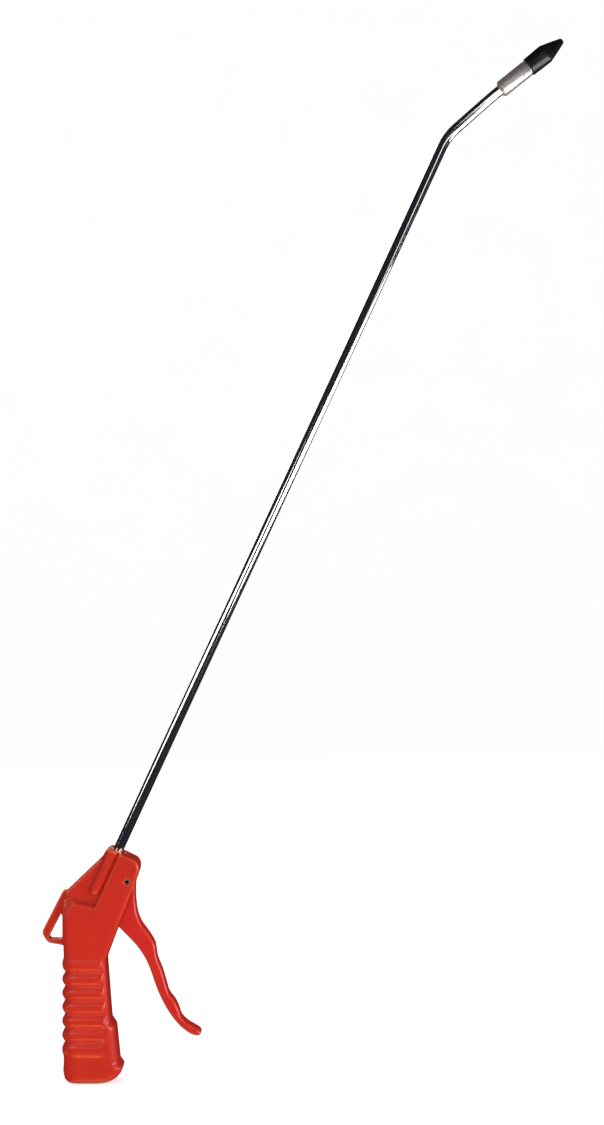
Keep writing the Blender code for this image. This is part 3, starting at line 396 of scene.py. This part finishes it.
def brass():
    """Turned brass with fine tool marks and a little tarnish."""
    made = Nodes("turned_brass_fine", 0.3, 1.0)
    tarnish = made.span(made.noise(240.0, 5.0), 0.42, 0.7, 0.0, 1.0)
    made.link(made.mix(tarnish, (0.76, 0.53, 0.23), (0.5, 0.32, 0.12)), made.shader, "Base Color")
    marks = made.noise(5.0, 5.0, made.scaled((60.0, 60.0, 2400.0)))
    made.link(made.span(marks, 0.3, 0.7, 0.2, 0.36), made.shader, "Roughness")
    made.bump(marks, 0.15, 0.02 * MM)
    return made.material


def steel():
    """Dull oiled steel with fine scratches."""
    made = Nodes("oiled_steel", 0.38, 1.0)
    stain = made.span(made.noise(500.0, 5.0), 0.35, 0.7, 0.0, 1.0)
    made.link(made.mix(stain, (0.42, 0.41, 0.40), (0.24, 0.23, 0.22)), made.shader, "Base Color")
    made.link(made.span(made.noise(1300.0, 3.0), 0.3, 0.7, 0.28, 0.48), made.shader, "Roughness")
    made.bump(made.noise(2600.0, 2.0), 0.15, 0.02 * MM)
    return made.material


def black_rubber():
    """Moulded black rubber: satin, with dust in its pores and a faint bloom."""
    made = Nodes("tip_rubber", 0.42)
    bloom = made.span(made.noise(140.0, 5.0), 0.45, 0.75, 0.0, 1.0)
    made.link(made.mix(bloom, (0.006, 0.005, 0.005), (0.013, 0.011, 0.011)), made.shader, "Base Color")
    made.link(made.span(made.noise(520.0, 4.0), 0.3, 0.7, 0.22, 0.34), made.shader, "Roughness")
    made.bump(made.noise(2200.0, 3.0), 0.2, 0.03 * MM)
    made.set(made.shader, Specular_IOR_Level=0.35)
    return made.material


def seal_rubber():
    """Dull greased rubber of the sealing rings."""
    made = Nodes("ring_rubber", 0.6)
    grease = made.span(made.noise(900.0, 3.0), 0.4, 0.7, 0.0, 1.0)
    made.link(made.mix(grease, (0.018, 0.018, 0.018), (0.032, 0.030, 0.027)), made.shader, "Base Color")
    made.link(made.span(grease, 0.0, 1.0, 0.35, 0.65), made.shader, "Roughness")
    made.bump(made.noise(3000.0, 2.0), 0.25, 0.02 * MM)
    return made.material


def acetal():
    """White turned plastic of the stem's guide."""
    made = Nodes("guide_acetal", 0.45)
    tone = made.span(made.noise(600.0, 3.0), 0.35, 0.65, 0.0, 1.0)
    made.link(made.mix(tone, (0.80, 0.79, 0.75), (0.72, 0.70, 0.65)), made.shader, "Base Color")
    made.link(made.span(made.noise(1500.0, 3.0), 0.3, 0.7, 0.35, 0.55), made.shader, "Roughness")
    made.bump(made.noise(2600.0, 2.0), 0.2, 0.02 * MM)
    return made.material


def room_paper():
    """Pale studio paper, lit a little from behind."""
    made = Nodes("studio_paper", 0.85)
    tone = made.noise(6.0, 3.0)
    made.link(made.mix(tone, (0.93, 0.93, 0.93), (0.90, 0.90, 0.90)), made.shader, "Base Color")
    made.set(made.shader, Emission_Color=(1.0, 1.0, 1.0, 1.0), Emission_Strength=PAPER_GLOW)
    made.set(made.shader, Specular_IOR_Level=0.0)
    return made.material


# ---------------------------------------------------------------- moulded pieces


def soft_copy(node, name, softening):
    """A CAD solid's shape made again as one fine surface with soft edges."""
    obj = place(bpy.data.objects.new(name, frame["nodes"][node].data.copy()))
    remesh = obj.modifiers.new("skin", "REMESH")
    remesh.mode = "VOXEL"
    remesh.voxel_size = SKIN
    smooth = obj.modifiers.new("soften", "SMOOTH")
    smooth.factor = SMOOTHING
    smooth.iterations = softening
    return settle(obj)


def body_shell():
    shell = soft_copy("body", "body_shell", BODY_SOFTENING)
    red = moulded_plastic("grip_nylon", *GRIP_REDS)
    return dress(shell, red, "handle", "red_plastic", "body", sharp=None)


def lever_shell():
    shell = soft_copy("lever", "lever_shell", LEVER_SOFTENING)
    red = moulded_plastic("lever_nylon", *LEVER_REDS)
    return dress(shell, red, "lever", "lever_plastic", "lever", sharp=None)


# ---------------------------------------------------------------- tube and tip


def bend(start, lean_a, lean_b, radius, steps):
    """Points along an arc that turns forwards and down from one lean to another."""
    out = Vector((math.cos(lean_a), 0.0, -math.sin(lean_a)))
    centre = start + out * radius
    points = []
    for k in range(1, steps + 1):
        lean = lean_a + (lean_b - lean_a) * k / steps
        points.append(centre - Vector((math.cos(lean), 0.0, -math.sin(lean))) * radius)
    return points


def tube_path():
    """The tube's centre line, from inside the head to the adapter's rear face."""
    cut_back = BEND_RADIUS * math.tan((SPOUT_LEAN - TUBE_LEAN) / 2)
    path = [TUBE_ROOT - TUBE_WAY * TUBE_DEPTH, TUBE_ROOT + TUBE_WAY * (TUBE_LENGTH - cut_back)]
    path += bend(path[-1], TUBE_LEAN, SPOUT_LEAN, BEND_RADIUS, BEND_STEPS)
    sweep = TIP_SWEEP * (TIP_LEAN - SPOUT_LEAN)
    path.append(path[-1] + leaning(SPOUT_LEAN) * (SPOUT_LENGTH - cut_back - sweep))
    return path + bend(path[-1], SPOUT_LEAN, TIP_LEAN, TIP_SWEEP, SWEEP_STEPS)


ADAPTER_REAR = tube_path()[-1]


def extension_tube():
    path = tube_path() + [ADAPTER_REAR + TIP_WAY * (ADAPTER_SOCKET - GAP)]
    tube = settle(swept("chromed_tube", path, TUBE_RADIUS, TUBE_ROUNDNESS))
    return dress(tube, chrome(), "handle", "polished_chrome", "extension_tube")


def tip_adapter():
    """The plated adapter: chamfered socket, round barrel, a narrower collar and the barbed spigot."""
    front = ADAPTER_LENGTH
    end = front + SPIGOT_LENGTH
    collar = ADAPTER_RADIUS - COLLAR_STEP
    socket = TUBE_RADIUS + SLIP_FIT
    bore = TUBE_RADIUS - TUBE_WALL
    profile = [
        (SPIGOT_RADIUS, end),
        (SPIGOT_RADIUS + BARB_RISE, end - BARB_LENGTH),
        (SPIGOT_RADIUS, end - BARB_LENGTH - BARB_SLOPE),
        (SPIGOT_RADIUS, front),
        (collar, front),
        (collar, front - COLLAR_LENGTH),
        (ADAPTER_RADIUS, front - COLLAR_LENGTH - COLLAR_SLOPE),
        (ADAPTER_RADIUS, ADAPTER_CHAMFER),
        (ADAPTER_RADIUS - ADAPTER_CHAMFER, 0.0),
        (socket, 0.0),
        (socket, ADAPTER_SOCKET),
        (bore, ADAPTER_SOCKET),
        (bore, end),
    ]
    obj = turned("plated_adapter", profile, ADAPTER_REAR, TIP_WAY, ROUND_SIDES, ADAPTER_EDGE)
    return dress(obj, nickel(), "handle", "bright_nickel", "tip_adapter")


def rubber_tip():
    """The rubber cone: a body that swells to its shoulder, then a slightly crowned nose."""
    back = TIP_BACK_GAP
    pocket = SPIGOT_LENGTH + TIP_POCKET_CLEARANCE
    inner = SPIGOT_RADIUS + BARB_RISE + GAP
    end = TIP_LENGTH - NOSE_ROUND
    nose = []
    for k in range(NOSE_STEPS + 1):
        share = k / NOSE_STEPS
        radius = TIP_END_RADIUS + (TIP_SHOULDER_RADIUS - TIP_END_RADIUS) * share
        height = end + (TIP_SHOULDER - end) * share
        nose.append((radius + NOSE_CROWN * math.sin(math.pi * share), height))
    profile = [
        (TIP_END_RADIUS - NOSE_ROUND, TIP_LENGTH),
        *nose,
        (TIP_SHOULDER_RADIUS - SHOULDER_FADE[0], TIP_SHOULDER - SHOULDER_FADE[1]),
        (TIP_BACK_RADIUS, back + TIP_BACK_CHAMFER[1]),
        (TIP_BACK_RADIUS - TIP_BACK_CHAMFER[0], back),
        (inner, back),
        (inner, pocket),
        (TIP_BORE, pocket + TIP_POCKET_SLOPE),
        (TIP_BORE, TIP_LENGTH),
    ]
    origin = ADAPTER_REAR + TIP_WAY * ADAPTER_LENGTH
    obj = turned("rubber_cone", profile, origin, TIP_WAY, ROUND_SIDES, TIP_EDGE)
    return dress(obj, black_rubber(), "handle", "black_rubber", "rubber_tip")


# ---------------------------------------------------------------- pin, inlet and spring


def rolled_pin(metal):
    """A pin rolled from strip, with its slit at the rear."""
    low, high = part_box("lever_pin")
    length = high[1] - low[1]
    half_slit = math.asin(PIN_SLIT / 2 / PIN_RADIUS)
    turns = [half_slit + (2 * math.pi - 2 * half_slit) * k / PIN_STEPS for k in range(PIN_STEPS + 1)]
    outline = [(PIN_RADIUS * math.cos(turn), PIN_RADIUS * math.sin(turn)) for turn in turns]
    outline += [(PIN_BORE * math.cos(turn), PIN_BORE * math.sin(turn)) for turn in reversed(turns)]
    data = bpy.data.curves.new("rolled_pin", "CURVE")
    data.dimensions = "2D"
    data.fill_mode = "BOTH"
    data.bevel_depth = PIN_EDGE
    data.bevel_resolution = 2
    data.offset = -PIN_EDGE
    data.extrude = length / 2 - PIN_EDGE
    spline = data.splines.new("POLY")
    spline.points.add(len(outline) - 1)
    for knot, (across, up) in zip(spline.points, outline):
        knot.co = (-across, up, 0.0, 1.0)
    spline.use_cyclic_u = True
    pin = place(bpy.data.objects.new("rolled_pin", data))
    pin.location = PIVOT
    pin.rotation_euler = (math.pi / 2, 0.0, 0.0)
    return dress(settle(pin), metal, "handle", "plain_steel", "lever_pin")


def inlet_bushing(metal):
    """The brass insert with its threaded bore."""
    half = RING_SECTION + GAP
    floor = INLET_RADIUS - 2 * RING_SECTION - GAP
    threads = []
    for k in range(THREAD_COUNT):
        height = THREAD_START + THREAD_PITCH * k
        threads.append((INLET_BORE, height))
        threads.append((INLET_BORE + THREAD_DEPTH, height + THREAD_PITCH / 2))
    end = THREAD_START + THREAD_PITCH * THREAD_COUNT
    profile = [
        (INLET_RADIUS, INLET_LENGTH),
        (INLET_RADIUS, INLET_RING_HEIGHT + half),
        (floor, INLET_RING_HEIGHT + half),
        (floor, INLET_RING_HEIGHT - half),
        (INLET_RADIUS, INLET_RING_HEIGHT - half),
        (INLET_RADIUS, 0.0),
        (INLET_BORE + INLET_CHAMFER, 0.0),
        *threads,
        (INLET_BORE - THREAD_FLOOR, end),
        (DUCT_RADIUS, end + DUCT_SLOPE),
        (DUCT_RADIUS, INLET_LENGTH),
    ]
    obj = turned("threaded_bushing", profile, Vector((0.0, 0.0, 0.0)), UP)
    return dress(obj, metal, "handle", "turned_brass", "inlet_bushing", sharp=25)


def valve_spring(metal):
    """The coil behind the poppet, at one fixed length, though the real one flattens as the stem moves in."""
    corners = [vertex.co for vertex in frame["nodes"]["valve_spring"].data.vertices]
    middle = sum(corners, Vector()) / len(corners)
    depths = [(corner - middle).dot(VALVE_WAY) for corner in corners]
    reach = [((corner - middle) - VALVE_WAY * depth).length for corner, depth in zip(corners, depths)]
    low, high = min(depths) + SPRING_WIRE, max(depths) - SPRING_WIRE
    radius = max(reach) - SPRING_WIRE - SPRING_CLEARANCE
    count = SPRING_STEPS * SPRING_TURNS
    path = []
    for k in range(count + 1):
        share = k / count
        turn = 2 * math.pi * SPRING_TURNS * share
        path.append((radius * math.cos(turn), radius * math.sin(turn), low + (high - low) * share))
    coil = aim(swept("return_spring", path, SPRING_WIRE, SPRING_ROUNDNESS), middle, VALVE_WAY)
    coil = dress(settle(coil), metal, "handle", "plain_steel", "valve_spring")
    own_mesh(coil)


# ---------------------------------------------------------------- room


def room():
    """A round pale room with rounded corners, seen only by the camera, so the metal stays dark."""
    wall = ROOM_RADIUS - ROOM_CORNER
    turns = [math.pi / 2 * k / ROOM_CORNER_STEPS for k in range(ROOM_CORNER_STEPS + 1)]
    low = [(wall + ROOM_CORNER * math.sin(turn), ROOM_CORNER * (1 - math.cos(turn))) for turn in turns]
    high = [(r, ROOM_HEIGHT - h) for r, h in reversed(low)]
    profile = [(0.0, 0.0), *low, *high, (0.0, ROOM_HEIGHT)]
    shell = turned("studio_room", profile, UP * FLOOR_HEIGHT, UP, closed=False)
    shell.data.materials.append(room_paper())
    shell.data.shade_smooth()
    shell.visible_diffuse = False
    shell.visible_glossy = False
    shell.visible_transmission = False
    shell.visible_shadow = False


def lamp(name, place_at, target, width, height, watts, roll=0.0, colour=WHITE_LIGHT):
    """A soft box that faces a target, turned about its own axis by roll."""
    data = bpy.data.lights.new(name, "AREA")
    data.shape = "RECTANGLE"
    data.size = width
    data.size_y = height
    data.energy = watts
    data.color = colour
    obj = place(bpy.data.objects.new(name, data))
    obj.location = place_at
    facing = (Vector(target) - Vector(place_at)).to_track_quat("-Z", "Y")
    obj.rotation_euler = (facing @ Quaternion((0.0, 0.0, 1.0), roll)).to_euler()
    obj.visible_camera = False
    return obj


def lights():
    """Long soft boxes that draw lines along the tube, and a low orange strip that draws the grip's edges."""
    lamp("right_box", (0.80, -0.34, 0.15), (0.15, 0.0, 0.44), 1.15, 0.20, 6.4)
    lamp("left_box", (-0.46, -0.66, 0.47), (0.07, 0.0, 0.32), 0.85, 0.18, 1.9)
    lamp("tip_box", (0.46, -0.48, 0.56), (0.25, 0.0, 0.615), 1.30, 0.05, 0.32, math.radians(-48))
    lamp("low_strip", (-0.03, -0.62, -0.44), (0.0, 0.0, 0.05), 0.60, 0.05, 2.5, colour=ORANGE_LIGHT)
    lamp("rear_box", (-0.5, 1.3, 0.9), (0.08, 0.0, 0.25), 0.8, 1.0, 6.0)
    bpy.context.scene.view_settings.view_transform = "Standard"


def surroundings():
    """Even light on every surface; in reflections a dark room with a pale floor."""
    world = bpy.data.worlds.new("surroundings")
    bpy.context.scene.world = world
    world.use_nodes = True
    tree = world.node_tree
    make = tree.nodes.new
    way = make("ShaderNodeTexCoord")
    split = make("ShaderNodeSeparateXYZ")
    tree.links.new(way.outputs["Generated"], split.inputs["Vector"])
    depth = make("ShaderNodeMath")
    depth.operation = "MULTIPLY"
    depth.inputs[1].default_value = -1.0
    tree.links.new(split.outputs["Z"], depth.inputs[0])
    ramp = make("ShaderNodeValToRGB")
    stops = [*ramp.color_ramp.elements, ramp.color_ramp.elements.new(0.5)]
    for stop, (place_at, shade) in zip(stops, ROOM_SHADES):
        stop.position = place_at
        stop.color = (*shade, 1.0)
    tree.links.new(depth.outputs["Value"], ramp.inputs["Fac"])
    kind = make("ShaderNodeLightPath")
    choice = make("ShaderNodeMix")
    choice.data_type = "RGBA"
    colours = [socket for socket in choice.inputs if socket.type == "RGBA"]
    colours[0].default_value = (EVEN_LIGHT, EVEN_LIGHT, EVEN_LIGHT, 1.0)
    tree.links.new(ramp.outputs["Color"], colours[1])
    tree.links.new(kind.outputs["Is Glossy Ray"], choice.inputs[0])
    shown = [socket for socket in choice.outputs if socket.type == "RGBA"][0]
    tree.links.new(shown, tree.nodes["Background"].inputs["Color"])


def camera():
    data = bpy.data.cameras.new("camera")
    data.sensor_fit = "VERTICAL"
    data.sensor_height = SENSOR_HEIGHT
    data.lens = CAMERA_LENS
    obj = place(bpy.data.objects.new("camera", data))
    obj.location = CAMERA_PLACE
    obj.rotation_euler = (math.pi / 2, 0.0, 0.0)
    bpy.context.scene.camera = obj


# ---------------------------------------------------------------- assembly


def finish_kept_nodes(materials):
    """Gives the CAD nodes that stay their fine materials, by the slot each has in the record."""
    for part in frame["record"]["subparts"]:
        node = frame["nodes"][part["node"]]
        material = materials.get(part["material_slot"])
        if material and not node.hide_render:
            for slot in node.material_slots:
                slot.material = material


def build():
    body_shell()
    lever_shell()
    extension_tube()
    tip_adapter()
    rubber_tip()
    metal = brass()
    wire = steel()
    rolled_pin(wire)
    inlet_bushing(metal)
    valve_spring(wire)
    finish_kept_nodes({
        "turned_brass": metal,
        "plain_steel": wire,
        "seal_rubber": seal_rubber(),
        "white_acetal": acetal(),
    })
    room()
    lights()
    surroundings()
    camera()


build()
